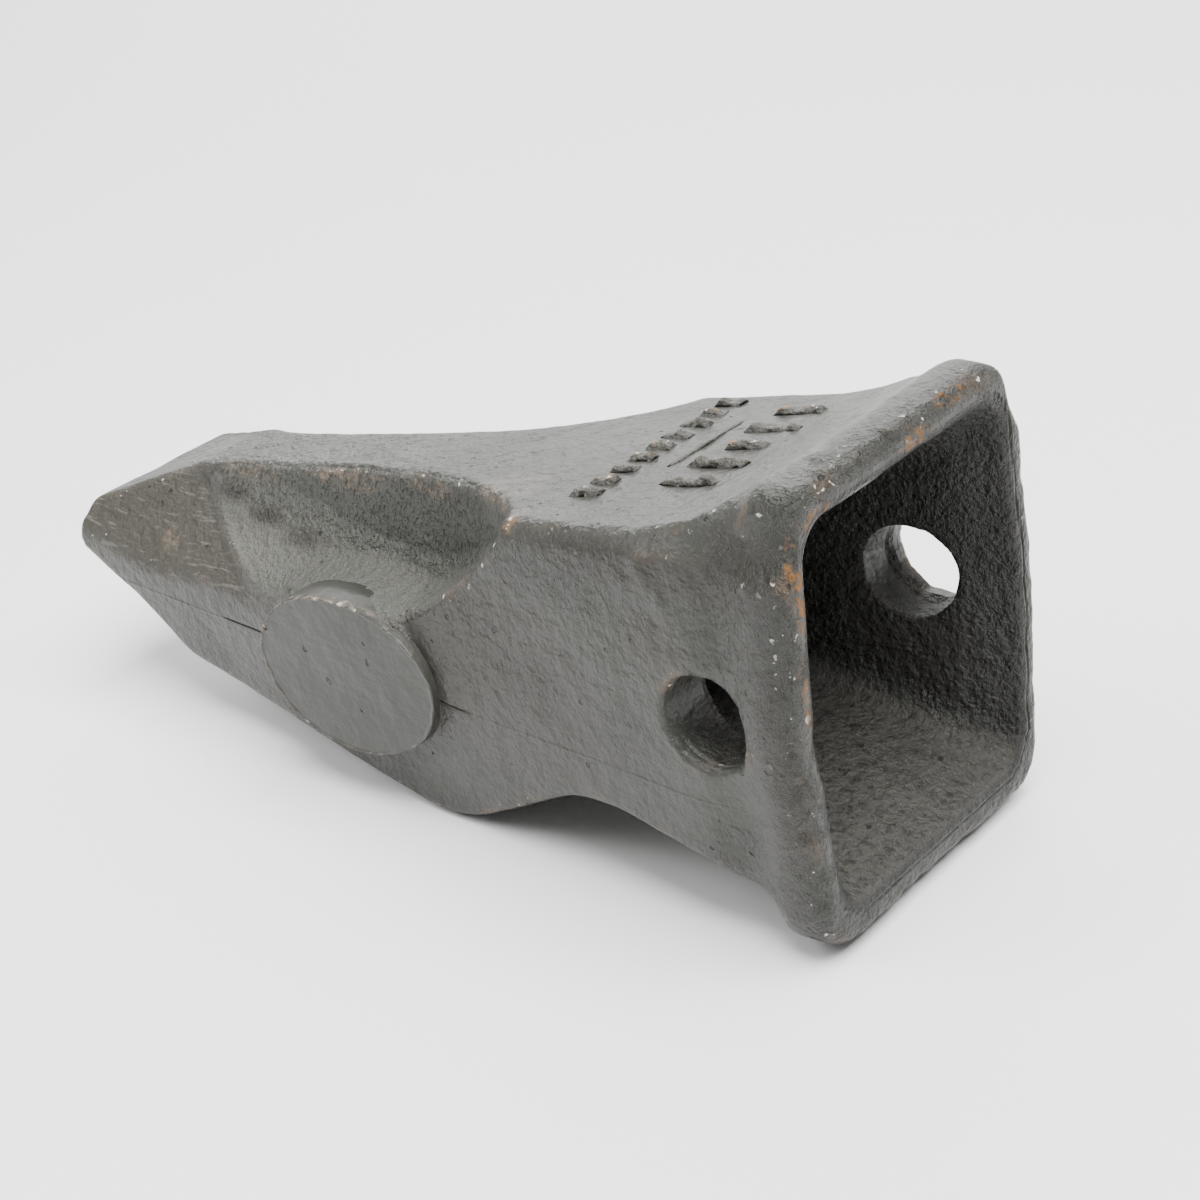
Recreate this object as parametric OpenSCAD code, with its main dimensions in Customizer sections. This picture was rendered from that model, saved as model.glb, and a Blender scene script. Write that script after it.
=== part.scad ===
// Rock tooth for an excavator bucket: one steel casting with a tapered
// socket, a cross pin hole, a central rib and a chisel point.
// Frame: the origin is the middle of the pin hole. +X runs out of the
// socket's mouth, the point is at -X, +Z is up, and Y is across the tooth.

/* [Length] */
// Pin axis to the rim of the socket's mouth
mouth_reach = 26; // [24:1:30]
// Pin axis to the blunt front of the chisel point
tip_reach = 245; // [230:1:260]

/* [Collar] */
// Width of the collar, measured on the parting plane
collar_width = 96; // [92:1:100]
// Height of the collar
collar_height = 112; // [108:1:116]
// Radius of the collar's four outer corners
collar_corner = 13; // [8:1:18]
// Lean of the side walls away from the parting plane, in degrees
draft_angle = 4.4; // [2:0.2:6]

/* [Pin hole] */
// Diameter of the hole for the retaining pin
pin_hole_d = 25; // [20:0.5:28]

/* [Socket] */
// Width of the socket at its mouth, on the parting plane
mouth_width = 79; // [74:1:82]
// Height of the socket at its mouth
mouth_height = 88; // [82:1:92]
// Length of the flared lead-in at the mouth
lead_in = 12; // [8:1:16]
// Distance from the mouth's rim to the socket's floor
socket_depth = 100; // [90:1:102]
// Width of the socket at its floor
socket_end_width = 42; // [36:1:44]
// Height of the socket at its floor
socket_end_height = 26; // [22:1:28]
// Drop of the socket's floor below the pin axis
socket_end_drop = 5; // [3:1:7]
// Radius of the socket's long inner corners
socket_corner = 7; // [4:1:9]

/* [Nose] */
// Narrowing of each side from the pin hole to the point, in degrees
side_taper = 3.9; // [3:0.1:4.5]
// Half width of the central rib at its front end
rib_front_half = 12; // [10:1:14]
// Radius of the sweep that ends each scallop, seen from the side
scallop_radius = 71; // [66:1:76]
// Height of the scallop's floor against the pin axis
scallop_floor_z = -9; // [-11:1:-7]
// Lean of the flanks beside the point, in degrees from level
flank_angle = 50.6; // [46:0.2:55]

/* [Feeder stub] */
// Length of the ground-off feeder stub along the tooth
stub_length = 64; // [50:1:70]
// Height of the stub
stub_height = 44; // [36:1:46]
// Distance of the stub's ground face from the middle of the tooth
stub_face_y = 43; // [42:0.5:45]
// Place of the stub's centre along the tooth
stub_x = -123; // [-128:1:-118]
// Height of the stub's centre
stub_z = -21; // [-24:1:-18]
// Rise of the stub's end nearest the mouth, in degrees
stub_tilt = 5; // [0:1:12]

/* [Cast marks] */
// Height of the raised marks above the tooth's back
mark_rise = 1.2; // [0.6:0.2:2]
// Number of marks in the row of small ones
small_marks = 9; // [5:1:10]
// Number of marks in the row of large ones
large_marks = 5; // [3:1:5]
// Shift of the rows off the middle of the tooth
mark_shift = 6; // [0:1:8]

/* [Hidden] */
$fn = 64;

half_width = collar_width / 2;
half_height = collar_height / 2;
reach = 400;                    // longer than the tooth, for cutting blocks
socket_end_x = mouth_reach - socket_depth;
lead_in_x = mouth_reach - lead_in;
throat_width = mouth_width - 7;         // the socket where its lead-in ends
throat_height = mouth_height - 5.6;
slice = 0.02;                           // thickness of a socket slice

// Corners of the side view, from the collar's top round to its bottom.
// Each is [x, z, radius].
side_corners = [
    [mouth_reach, half_height, 6],          // collar, top of the rim
    [mouth_reach - 14, half_height, 8],     // back of the collar
    [-8, 41.6, 90],                         // sweep down to the back
    [-205, 11, 14],                         // front end of the rib
    [3 - tip_reach, -4, 4],                 // top of the chisel edge
    [-tip_reach, -14, 5],                   // bottom of the chisel edge
    [22 - tip_reach, -25, 20],              // under the point
    [-203, -39.5, 22],                      // start of the flat underside
    [-97, -58.2, 14],                       // heel under the socket's floor
    [-44.7, -32.2, 38],                     // arch between heel and collar
    [3, -43.2, 22],                         // sweep down to the collar
    [mouth_reach - 12, -half_height, 5],    // back of the collar, below
    [mouth_reach, -half_height, 6],         // collar, bottom of the rim
];

// Corners of the scallop in plan, each [x, y, radius], for the +Y side
scallop_plan = [
    [-203, rib_front_half, 2],
    [-97, rib_front_half + 6, 60],
    [-80, 20.5, 14],
    [-62, 38, 12],
    [-57, 41, 3],
    [-57, 60, 1],
    [-187, 60, 1],
    [-187, 32, 1],
];

function unit(v) = v / norm(v);
function xz(c) = [c[0], c[1]];

// Points of the arc that rounds corner b, between its neighbours a and c
function corner_arc(a, b, c, r, steps) =
    let (u = unit(a - b), v = unit(c - b),
         half = acos(u * v) / 2,
         centre = b + unit(u + v) * r / sin(half),
         start = b + u * r / tan(half) - centre,
         turn = (u[0] * v[1] - u[1] * v[0] > 0 ? -1 : 1) * (180 - 2 * half))
    [for (i = [0 : steps])
        let (t = turn * i / steps)
        centre + [start[0] * cos(t) - start[1] * sin(t),
                  start[0] * sin(t) + start[1] * cos(t)]];

// An outline with every corner rounded by its own radius
function rounded(corners, steps = 6) =
    [for (i = [0 : len(corners) - 1])
        let (n = len(corners),
             before = xz(corners[(i + n - 1) % n]),
             after = xz(corners[(i + 1) % n]))
        each corner_arc(before, xz(corners[i]), after, corners[i][2], steps)];

// Draws its children on the +Y side and mirrored on the -Y side
module both_sides() {
    for (side = [0, 1])
        mirror([0, side, 0]) children();
}

// A flat shape in X and Z, as a slab between two values of Y
module across(from_y, to_y) {
    translate([0, to_y, 0]) rotate([90, 0, 0])
        linear_extrude(to_y - from_y) children();
}

// What lies outside one side wall: a pair of blocks that lean in, above
// and below the parting plane, along the line that turns by taper degrees
module outside_wall(taper) {
    for (half = [0, 1])
        mirror([0, 0, half])
            translate([0, half_width, 0])
            rotate([0, 0, taper])
            rotate([draft_angle, 0, 0])
            translate([-reach, 0, -1])
                cube([2 * reach, 60, reach]);
}

// The casting's outer block before the scallops: side view, collar
// corners and leaning side walls
module outer_block() {
    difference() {
        intersection() {
            across(-60, 60) polygon(rounded(side_corners));
            translate([-reach, 0, 0]) rotate([90, 0, 90])
                linear_extrude(2 * reach) collar_section();
        }
        both_sides() {
            outside_wall(0);
            outside_wall(side_taper);
        }
    }
}

// The collar from behind: a rectangle with round corners
module collar_section() {
    corner_y = half_width - collar_corner;
    corner_z = half_height - collar_corner;
    polygon(rounded([
        [half_width, half_height, collar_corner],
        [-half_width, half_height, collar_corner],
        [-half_width, -half_height, collar_corner],
        [half_width, -half_height, collar_corner],
    ], 10));
}

// One slice of the socket: six round posts, widest on the parting plane
module socket_slice(x, width, height) {
    r = socket_corner;
    lean = height / 2 * tan(draft_angle);
    for (y = [-1, 1]) {
        for (z = [-1, 1])
            translate([x, y * (width / 2 - lean - r), z * (height / 2 - r)])
                rotate([0, 90, 0]) cylinder(h = slice, r = r, $fn = 32);
        translate([x, y * (width / 2 - r), 0])
            rotate([0, 90, 0]) cylinder(h = slice, r = r, $fn = 32);
    }
}

// The tapered socket and the flare at its mouth
module socket() {
    hull() {
        translate([0, 0, -socket_end_drop])
            socket_slice(socket_end_x, socket_end_width, socket_end_height);
        socket_slice(lead_in_x, throat_width, throat_height);
    }
    hull() {
        socket_slice(lead_in_x, throat_width, throat_height);
        socket_slice(mouth_reach, mouth_width, mouth_height);
    }
}

module pin_hole() {
    translate([0, 60, 0]) rotate([90, 0, 0]) cylinder(h = 120, d = pin_hole_d);
}

// The pocket beside the rib, on the +Y side
module scallop() {
    centre_x = -125;
    intersection() {
        union() {
            translate([centre_x, 70, scallop_floor_z + scallop_radius])
                rotate([90, 0, 0]) cylinder(h = 70, r = scallop_radius, $fn = 128);
            across(0, 70) polygon([
                [centre_x, scallop_floor_z], [-190, -13], [-210, 12],
                [-210, 60], [centre_x, 60],
            ]);
        }
        translate([0, 0, -40]) linear_extrude(120)
            polygon(rounded(scallop_plan));
    }
}

// The sloping flank between the point's bevel and its side, on +Y
module flank() {
    intersection() {
        translate([-203, rib_front_half, 11]) rotate([-flank_angle, 0, 0])
            translate([-60, -60, 0]) cube([80, 120, 60]);
        translate([0, 0, -40]) linear_extrude(120) polygon([
            [-260, 0], [-203, rib_front_half - 4], [-199, rib_front_half],
            [-183, 32], [-183, 60], [-260, 60],
        ]);
    }
}

module tooth_casting() {
    color("#7a7a76")
    difference() {
        outer_block();
        socket();
        pin_hole();
        both_sides() {
            scallop();
            flank();
        }
    }
}

// Oval stub where the feeder was cut off and ground flat, on the -Y side
module feeder_stub() {
    oval = [for (a = [0 : 7.5 : 352.5])
        [stub_length / 2 * cos(a), stub_height / 2 * sin(a)]];
    color("#848480")
    difference() {
        translate([stub_x, 0, stub_z]) rotate([0, -stub_tilt, 0])
            across(-stub_face_y, -30) polygon(oval);
        outer_block();
    }
}

// Two rows of plain raised bars on the tooth's back, with a line between.
// They follow the back's sweep, mark_rise above it.
module cast_marks() {
    color("#8e8e88")
    difference() {
        intersection() {
            union() {
                mark_row(-48, small_marks, 62, 3.6, 9);
                translate([-36, -14, 0]) cube([1.2, 38, half_height]);
                mark_row(-23, large_marks, 54, 5, 17);
            }
            translate([0, 0, mark_rise]) outer_block();
        }
        outer_block();
    }
}

// A row of marks across the tooth: every third one is a short bar
module mark_row(x, count, span, width, length) {
    pitch = span / count;
    for (i = [0 : count - 1])
        translate([x - length / 2,
                   mark_shift + (i - (count - 1) / 2) * pitch - width / 2, 0])
            cube([i % 3 == 1 ? length / 2 : length, width, half_height]);
}

tooth_casting();
feeder_stub();
cast_marks();
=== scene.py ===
"""Rock tooth for an excavator bucket: a painted steel casting with a ground
feeder stub and raised cast marks, lying on a pale studio floor. Everything is
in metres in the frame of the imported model: the origin is the middle of the pin
hole, +X runs out of the socket's mouth and +Z is up."""

import math

import bpy
import numpy as np
from bpy.props import FloatProperty, FloatVectorProperty, IntProperty, PointerProperty
from bpy.types import Operator, Panel, PropertyGroup
from mathutils import Matrix, Vector


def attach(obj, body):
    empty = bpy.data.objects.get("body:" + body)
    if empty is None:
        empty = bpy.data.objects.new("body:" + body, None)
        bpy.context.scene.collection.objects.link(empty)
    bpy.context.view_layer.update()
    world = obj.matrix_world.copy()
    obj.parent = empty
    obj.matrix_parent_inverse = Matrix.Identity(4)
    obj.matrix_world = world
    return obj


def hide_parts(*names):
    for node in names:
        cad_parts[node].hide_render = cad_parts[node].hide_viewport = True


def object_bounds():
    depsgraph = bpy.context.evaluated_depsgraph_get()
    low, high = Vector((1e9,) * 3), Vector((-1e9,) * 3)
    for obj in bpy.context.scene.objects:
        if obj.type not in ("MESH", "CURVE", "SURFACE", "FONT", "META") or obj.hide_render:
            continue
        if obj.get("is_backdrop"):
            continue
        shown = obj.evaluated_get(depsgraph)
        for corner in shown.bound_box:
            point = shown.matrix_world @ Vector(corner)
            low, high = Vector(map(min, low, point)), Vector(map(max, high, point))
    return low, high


bl_info = {
    "name": "Excavator bucket tooth",
    "version": (1, 0, 0),
    "blender": (4, 5, 0),
    "location": "3D View > Sidebar > Tooth",
    "description": "Builds a cast steel rock tooth around its CAD model",
    "category": "Object",
}

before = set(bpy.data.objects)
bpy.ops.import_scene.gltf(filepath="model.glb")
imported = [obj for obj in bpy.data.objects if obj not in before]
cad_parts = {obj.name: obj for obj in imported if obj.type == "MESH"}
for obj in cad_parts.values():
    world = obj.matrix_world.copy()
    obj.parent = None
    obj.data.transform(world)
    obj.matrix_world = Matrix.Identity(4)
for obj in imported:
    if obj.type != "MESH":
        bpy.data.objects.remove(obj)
CAD_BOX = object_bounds()
MM = 0.001

# ---------------------------------------------------------------- dimensions

# All in millimetres. The side view's corners are [x, z, radius], from the top
# of the collar round to its bottom; it runs on past the mouth, whose rim has
# a radius of its own.
MOUTH_X, TIP_X = 26.0, -245.0
SIDE_CORNERS = (
    (80, 55.5, 1), (14, 55.5, 8), (-6, 42.3, 80), (-205, 11, 10),
    (TIP_X + 4, -1.5, 2.5), (TIP_X, -14, 3.5), (-221, -25.4, 22), (-203, -40.2, 24),
    (-96, -60.8, 44), (-44.7, -33.0, 38), (0, -40.2, 18), (10, -56.5, 7),
    (80, -56.5, 1),
)
HALF_WIDTH = 47.6
STUB_X, STUB_Z, STUB_TILT = -123.0, -21.0, math.radians(5)
PIN_RADIUS = 12.5
# Heights of the pockets beside the rib, at its foot and at the side wall
POCKET_X = (-214, -203, -189, -172, -152, -139, -111, -98, -88, -77, -68, -60, -54)
RIB_FOOT_Z = (12, 10.5, 7, 2.5, 1.2, 0, 0.5, 3, 8, 15.5, 23, 30.5, 38)
OUTER_Z = (-12, -13, -12, -9.3, -7.5, -5, -2, 1.5, 7.5, 15, 23, 31, 38)
# Half width of the rib's top
RIB_X = (-205, -172, -146, -128, -110, -97, -88, -79, -70, -62, -55)
RIB_HALF = (12, 12, 12.4, 13.5, 15.5, 17.8, 20.5, 24, 28.8, 34.5, 41)


def rounded_outline(corners, steps=9):
    """Points of an outline whose every corner is an arc of its own radius."""
    points = []
    flat = [np.array(c[:2], float) for c in corners]
    for i, corner in enumerate(corners):
        here, after = flat[i], flat[(i + 1) % len(corners)]
        u = flat[i - 1] - here
        v = after - here
        u, v = u / np.linalg.norm(u), v / np.linalg.norm(v)
        half = math.acos(np.clip(u @ v, -1, 1)) / 2
        centre = here + (u + v) / np.linalg.norm(u + v) * corner[2] / math.sin(half)
        start = here + u * corner[2] / math.tan(half) - centre
        turn = (math.pi - 2 * half) * (-1 if u[0] * v[1] - u[1] * v[0] > 0 else 1)
        for angle in np.linspace(0, turn, steps):
            c, s = math.cos(angle), math.sin(angle)
            points.append(centre + (start[0] * c - start[1] * s, start[0] * s + start[1] * c))
    return np.array(points)


# ------------------------------------------------------------- solid fields

# A field is below zero inside the metal and grows by about one per
# millimetre. All lengths in this section are millimetres.

def smooth_step(x, low, high):
    t = np.clip((x - low) / (high - low), 0, 1)
    return t * t * (3 - 2 * t)


def both(a, b, radius):
    """Where both fields are solid, with the edge between them rounded."""
    u, v = np.maximum(a + radius, 0), np.maximum(b + radius, 0)
    return np.minimum(np.maximum(a, b), -radius) + np.sqrt(u * u + v * v)


def either(a, b, radius):
    """Where either field is solid, with a fillet in the corner between them."""
    return -both(-a, -b, radius)


def cut(a, b, radius):
    """Field a without field b, with the edge rounded."""
    return both(a, -b, radius)


class Outline:
    """Distance to a closed outline, kept on a fine grid and read off it."""

    def __init__(self, points, step=0.75, margin=14):
        self.low = points.min(0) - margin
        self.step = step
        count = ((points.max(0) + margin - self.low) / step).astype(int) + 2
        u, v = np.meshgrid(*(self.low[i] + step * np.arange(count[i]) for i in (0, 1)), indexing="ij")
        nearest = np.full(u.shape, 1e9)
        inside = np.zeros(u.shape, bool)
        for a, b in zip(points, np.roll(points, -1, 0)):
            d = b - a
            t = np.clip(((u - a[0]) * d[0] + (v - a[1]) * d[1]) / max(d @ d, 1e-9), 0, 1)
            nearest = np.minimum(nearest, np.hypot(u - a[0] - t * d[0], v - a[1] - t * d[1]))
            if a[1] != b[1]:
                crosses = (v < a[1]) != (v < b[1])
                inside ^= crosses & (u < a[0] + (v - a[1]) * d[0] / d[1])
        self.values = np.where(inside, -nearest, nearest)

    def __call__(self, x, z):
        p = (x - self.low[0]) / self.step
        q = (z - self.low[1]) / self.step
        p = np.clip(p, 0, self.values.shape[0] - 1.001)
        q = np.clip(q, 0, self.values.shape[1] - 1.001)
        i, j = p.astype(int), q.astype(int)
        p, q = p - i, q - j
        v = self.values
        return ((v[i, j] * (1 - p) + v[i + 1, j] * p) * (1 - q)
                + (v[i, j + 1] * (1 - p) + v[i + 1, j + 1] * p) * q)


SIDE_VIEW = Outline(rounded_outline(SIDE_CORNERS))
DRAFT = math.tan(math.radians(4.4))
TAPER = math.tan(math.radians(3.9))


def parting_z(x):
    """Height of the mould's parting line, which drops along the nose."""
    return -20 * smooth_step(-x, 25, 95)


def half_width(x, z):
    """Half width of the casting: widest on the parting line."""
    lean = np.sqrt((z - parting_z(x)) ** 2 + 9) - 3
    waist = 1.6 * smooth_step(-x, -16, -9) * smooth_step(x, -6, 8)
    taper = TAPER * np.logaddexp(0, -x / 6) * 6
    return HALF_WIDTH - DRAFT * lean - taper - waist + 0.8 * smooth_step(x, 4, 14)


def soft_table(x, at, values, reach=5.0):
    """A table read off with its kinks smoothed over a few millimetres."""
    return sum(w * np.interp(x + d * reach, at, values)
               for d, w in ((-1, 0.2), (-0.5, 0.2), (0, 0.2), (0.5, 0.2), (1, 0.2)))


def rib_top(x):
    return 11 + 0.156 * (x + 203)


def rib_half_width(x, z):
    """Half width of the central rib, whose sides lean out to its foot."""
    lean = 0.2 + 0.16 * smooth_step(-x, 90, 150)
    return soft_table(x, RIB_X, RIB_HALF, 3) + lean * np.clip(rib_top(x) - z, 0, 30)


def pocket_floor(x, y):
    """Height of the dished pocket between the rib's foot and the side."""
    foot, outer = soft_table(x, POCKET_X, RIB_FOOT_Z), soft_table(x, POCKET_X, OUTER_Z)
    foot_y = 14 + 8 * smooth_step(x, -200, -145)
    t = (y - foot_y) / (36 - foot_y)
    return foot + (outer - foot) * np.maximum(t, -0.3)


def flank_crease(x, side):
    """The line in plan that parts the flank, below zero, from the pocket."""
    return (x + 203) * 0.508 - (side - 13) * 0.862


def flank_face(x, side, z):
    """The bevelled flank beside the point, which twists up towards the side."""
    twist = 7 * smooth_step(x, -222, -172) * np.clip((side - 12) / 24, 0, 1)
    return 3.0 - 0.065 * x - 0.771 * side - 0.633 * z + twist


def stub_place(x, z):
    """A place on the side in the stub's own axes, along and up."""
    c, s = math.cos(STUB_TILT), math.sin(STUB_TILT)
    u, v = x - STUB_X, z - STUB_Z
    return u * c + v * s, v * c - u * s


def stub_boss(x, y, z):
    """The casting's skin under the feeder stub, on the near side."""
    u, v = stub_place(x, z)
    oval = (np.sqrt((u / 31.0) ** 2 + (v / 21.0) ** 2 + 1e-9) - 1) * 22
    return both(oval, np.maximum(-y - 42.2, y + 18), 0.8)


def casting_field(x, y, z):
    """The whole casting."""
    side = np.abs(y)
    edge = (3.0 + 8.5 * smooth_step(x, -4, 10) - 1.6 * smooth_step(-x, 190, 235)
            + 2.5 * smooth_step(z, -5, 20) * smooth_step(-x, -4, 6) * smooth_step(x, -120, -70))
    solid = both(SIDE_VIEW(x, z), (side - half_width(x, z)) * 0.995, edge)
    solid = both(solid, x - MOUTH_X, 4.2)
    # the crease that parts the flank from the pocket behind it
    crease = flank_crease(x, side)
    # the pockets, with a fillet at the rib's foot
    above_floor = (pocket_floor(x, side) - z) * 0.8
    beside_rib = (rib_half_width(x, z) - side) * 0.95
    soft = 3.4 - 1.6 * smooth_step(z, -2, 7)
    pocket = both(both(above_floor, beside_rib, 5), -crease, soft)
    solid = cut(solid, pocket, 2.6)
    # the flanks beside the point
    solid = cut(solid, both(flank_face(x, side, z), crease, soft - 1), 1.6)
    # the feeder stub's root runs into the pocket with a wide fillet
    root = 1.0 + 5.5 * smooth_step(z, -16, -2) * smooth_step(-x, 92, 108)
    solid = either(solid, stub_boss(x, y, z), root)
    # the socket
    t = (14 - x) / 88
    t_in = np.clip(t, -0.2, 1.1)
    mouth = 3.5 * smooth_step(x, 10, 27)
    high = 40.6 - 32.6 * t_in + mouth * 0.9
    low = -40.8 + 22.8 * t_in - mouth * 0.9
    wide = 35.2 - 14.2 * t_in + mouth - DRAFT * np.abs(z)
    void = both((side - wide) * 0.98, np.maximum(z - high, low - z) * 0.95, 8)
    void = both(void, -74 - x, 7)
    solid = cut(solid, void, 2.2)
    # the pin hole
    bore = np.hypot(x, z) - PIN_RADIUS
    # a fin of flash is left across the far end of the hole
    t = smooth_step(y, 40.5, 43.5)
    fin = np.hypot(x - 1.4 * t, z - 1.5 * t) - PIN_RADIUS + 0.4 * t * np.sin(0.7 * x + 1) * np.cos(0.6 * z)
    bore = both(bore, fin, 2)
    return cut(solid, bore, 0.9)


# ------------------------------------------------------------ meshing

def surface_mesh(field, low, high, step):
    """Vertices and quads of a field's zero surface, by surface nets."""
    axes = [np.arange(low[i], high[i] + step, step) for i in range(3)]
    x, y, z = np.meshgrid(*axes, indexing="ij", sparse=True)
    values = field(x, y, z).astype(np.float32)
    shape = values.shape
    solid = values < 0
    total = np.zeros(shape + (3,), np.float32)
    hits = np.zeros(shape, np.int32)
    crossings = []
    for axis in range(3):
        ahead = [slice(None)] * 3
        behind = [slice(None)] * 3
        ahead[axis], behind[axis] = slice(1, None), slice(None, -1)
        changed = solid[tuple(behind)] != solid[tuple(ahead)]
        at = np.argwhere(changed)
        a = values[tuple(behind)][changed]
        b = values[tuple(ahead)][changed]
        point = at.astype(np.float32)
        point[:, axis] += a / (a - b)
        crossings.append((axis, at, solid[tuple(behind)][changed]))
        others = [k for k in range(3) if k != axis]
        for du in (0, 1):
            for dv in (0, 1):
                cell = at.copy()
                cell[:, others[0]] -= du
                cell[:, others[1]] -= dv
                index = tuple(cell.T)
                np.add.at(total, index, point)
                np.add.at(hits, index, 1)
    number = np.cumsum((hits > 0).ravel()).reshape(shape) - 1
    used = hits > 0
    points = total[used] / hits[used][:, None] * step + np.array(low, np.float32)
    quads = []
    for axis, at, from_solid in crossings:
        u, v = (axis + 1) % 3, (axis + 2) % 3
        corners = []
        for du, dv in ((0, 0), (1, 0), (1, 1), (0, 1)):
            cell = at.copy()
            cell[:, u] -= du
            cell[:, v] -= dv
            corners.append(number[tuple(cell.T)])
        quad = np.stack(corners, 1)
        quad[~from_solid] = quad[~from_solid][:, ::-1]
        quads.append(quad)
    return points.astype(float), np.concatenate(quads)


def gradient(field, p, h=0.4):
    g = np.empty_like(p)
    for i in range(3):
        d = np.zeros(3)
        d[i] = h
        g[:, i] = (field(*(p + d).T) - field(*(p - d).T)) / (2 * h)
    return g


def settle(points, quads, field, rounds=3):
    """Evens out the mesh along the surface and puts it back on the surface."""
    pairs = np.concatenate([quads[:, [0, 1]], quads[:, [1, 2]], quads[:, [2, 3]], quads[:, [3, 0]]])
    for _ in range(rounds):
        mean = np.zeros_like(points)
        count = np.zeros(len(points))
        np.add.at(mean, pairs[:, 0], points[pairs[:, 1]])
        np.add.at(mean, pairs[:, 1], points[pairs[:, 0]])
        np.add.at(count, pairs.ravel(), 1)
        g = gradient(field, points)
        n = g / np.maximum(np.linalg.norm(g, axis=1, keepdims=True), 1e-6)
        move = mean / count[:, None] - points
        points = points + 0.5 * (move - n * np.sum(move * n, 1, keepdims=True))
        for _ in range(2):
            g = gradient(field, points)
            size = np.maximum(np.sum(g * g, 1, keepdims=True), 0.05)
            points = points - g * field(*points.T)[:, None] / size
    return points


# ---------------------------------------------------------- surface relief

def lattice_noise(p, size, seed):
    """Smooth noise from -1 to 1 with lumps about size millimetres across."""
    q = p / size + seed * 7.31
    cell = np.floor(q).astype(np.int64)
    f = q - cell
    f = f * f * (3 - 2 * f)
    total = np.zeros(len(p))
    for corner in range(8):
        step = np.array([corner & 1, corner >> 1 & 1, corner >> 2])
        c = cell + step
        h = c[:, 0] * 73856093 ^ c[:, 1] * 19349663 ^ c[:, 2] * 83492791
        h = (h ^ (seed + 11) * 2654435761) & 0xFFFFFFFF
        h = (h ^ h >> 15) * 2246822519 & 0xFFFFFFFF
        h = (h ^ h >> 13) * 3266489917 & 0xFFFFFFFF
        value = (h ^ h >> 16) / 2 ** 31 - 1
        total += value * np.prod(np.where(step, f, 1 - f), 1)
    return total


def bump(distance, radius):
    """One at distance zero, falling smoothly to nothing at the radius."""
    t = np.clip(1 - (distance / radius) ** 2, 0, 1)
    return t * t


def zones(p, normal):
    """Where each kind of surface lies, as weights from 0 to 1."""
    x, y, z = p.T
    side = np.abs(y)
    inward = -(y * normal[:, 1] + (z + 4) * normal[:, 2])
    inside = smooth_step(inward / 20, -0.1, 0.5) * smooth_step(x, -80, -60) * (side < 43)
    flank = bump(flank_face(x, side, z), 3.5) * smooth_step(-flank_crease(x, side), -4, 4)
    wall = (smooth_step(-x, 74, 84) * smooth_step(x, -203, -190) * (side > 10)
            * smooth_step(np.abs(normal[:, 1]), 0.5, 0.8) * smooth_step(z, -4, 3)
            * smooth_step(rib_half_width(x, z) + 3 - side, 0, 2))
    # the pocket's floor where it faces up: it carries relief, and the paint lightens it as painted light
    floor = (smooth_step(-x, 70, 80) * smooth_step(x, -205, -195) * (z < rib_top(x) - 2)
             * smooth_step(normal[:, 2], 0.25, 0.5) * smooth_step(flank_crease(x, side), -2, 2))
    rim = bump(x - MOUTH_X, 13) * (1 - inside)
    corner = smooth_step(np.maximum(side - 40, np.abs(z) - 50), 0, 4)
    ridge = rim * bump(np.abs(x - MOUTH_X + 2.0), 7) * corner
    return {"inside": inside, "flank": flank, "wall": wall, "pocket": floor, "rim": rim, "ridge": ridge}


def cast_relief(p, zone):
    """Height in millimetres of the sand's marks on the cast skin."""
    x, y, z = p.T
    height = 0.22 * lattice_noise(p, 9, 1) + 0.10 * lattice_noise(p, 4, 2)
    height += 0.45 * lattice_noise(p, 45, 3)
    pocks = lattice_noise(p, 3.6, 4)
    height += zone["rim"] * (0.36 * pocks + 0.16 * lattice_noise(p, 7, 5))
    height -= zone["ridge"] * 0.8 * smooth_step(pocks, 0.25, 0.8)
    height += zone["wall"] * 0.26 * lattice_noise(p * (1, 1, 0.45), 3.4, 6)
    height += zone["flank"] * 0.14 * lattice_noise(p, 3.5, 7)
    height += zone["inside"] * 0.12 * lattice_noise(p, 4, 8)
    height += zone["pocket"] * 0.12 * lattice_noise(p, 4, 12)
    # blister scars on the near side, and a few shallow dents
    for at, size, rise in SCARS:
        away = np.linalg.norm((p - at) / size, axis=1)
        lumps = 1 + 0.8 * lattice_noise(p, 2.6, 9)
        height += rise * bump(away, 1.0) * lumps
    return height


# Each scar is a place, its reach along X, Y and Z, and its height
SCARS = (
    ((-14.5, -46, 33.5), (4.5, 5, 8), 1.3),
    ((-9, -46, 27), (3, 5, 4), 0.7),
    ((18, -20, 55), (5, 9, 5), 0.5),
    ((4, 10, 48), (5, 6, 6), -0.5),
    ((-60, -38, 32), (4, 4, 4), 0.9),
    ((-84, -21, 29), (4, 3, 3), 0.7),
    ((-120, -42, -44), (4, 6, 3), 0.6),
    ((26, -43, -12), (3, 4, 6), 0.8),
    ((26, -43, -34), (3, 4, 5), -0.7),
    ((-176, -16, 3), (7, 5, 3), 0.8),
    ((-160, -19, 0), (5, 5, 3), 0.7),
)


# ------------------------------------------------------------------ objects

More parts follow.
